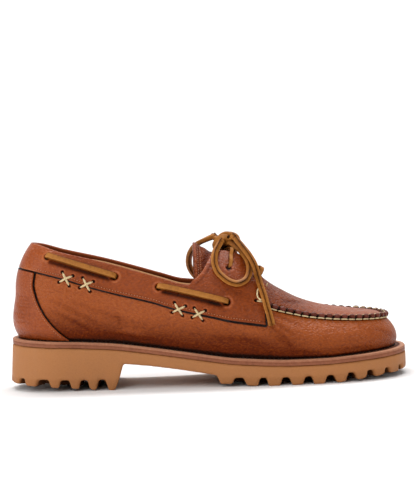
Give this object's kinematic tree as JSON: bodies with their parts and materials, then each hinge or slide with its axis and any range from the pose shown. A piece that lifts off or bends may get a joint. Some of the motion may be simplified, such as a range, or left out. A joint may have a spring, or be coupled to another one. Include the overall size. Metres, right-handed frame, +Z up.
{
  "type": "boat shoe",
  "caption": "Right boat shoe with a hand-sewn moccasin apron, rawhide side laces tied in a bow, and a gum sole with deep lugs.",
  "frame": {"origin": "on the ground, under the centre of the bounding box of the shoe", "axes": "+X from heel to toe, -Y to the lateral (outer) side, +Y to the medial side, +Z up; the heel and forefoot lugs rest on Z = 0"},
  "size_m": [0.301, 0.1081, 0.1139],
  "materials": {
    "tan_leather": "semi-gloss pebbled",
    "gum_rubber": "matte",
    "midsole_leather": "matte",
    "lining_leather": "matte",
    "rawhide": "oiled, with dark edges"
  },
  "bodies": {
    "root": {"outsole": "gum_rubber", "midsole": "midsole_leather", "insole": "lining_leather", "upper": "tan_leather", "collar_band": "tan_leather", "heel_counter": "tan_leather", "tongue": "tan_leather", "side_lace_lateral_rear": "rawhide", "side_lace_lateral_front": "rawhide", "side_lace_medial_rear": "rawhide", "side_lace_medial_front": "rawhide", "lace_crossing_top": "rawhide", "lace_crossing_lower": "rawhide", "lace_knot": "rawhide", "lace_loop_lateral": "rawhide", "lace_loop_medial": "rawhide", "lace_end_lateral": "rawhide", "lace_end_medial": "rawhide"}
  },
  "joints": []
}
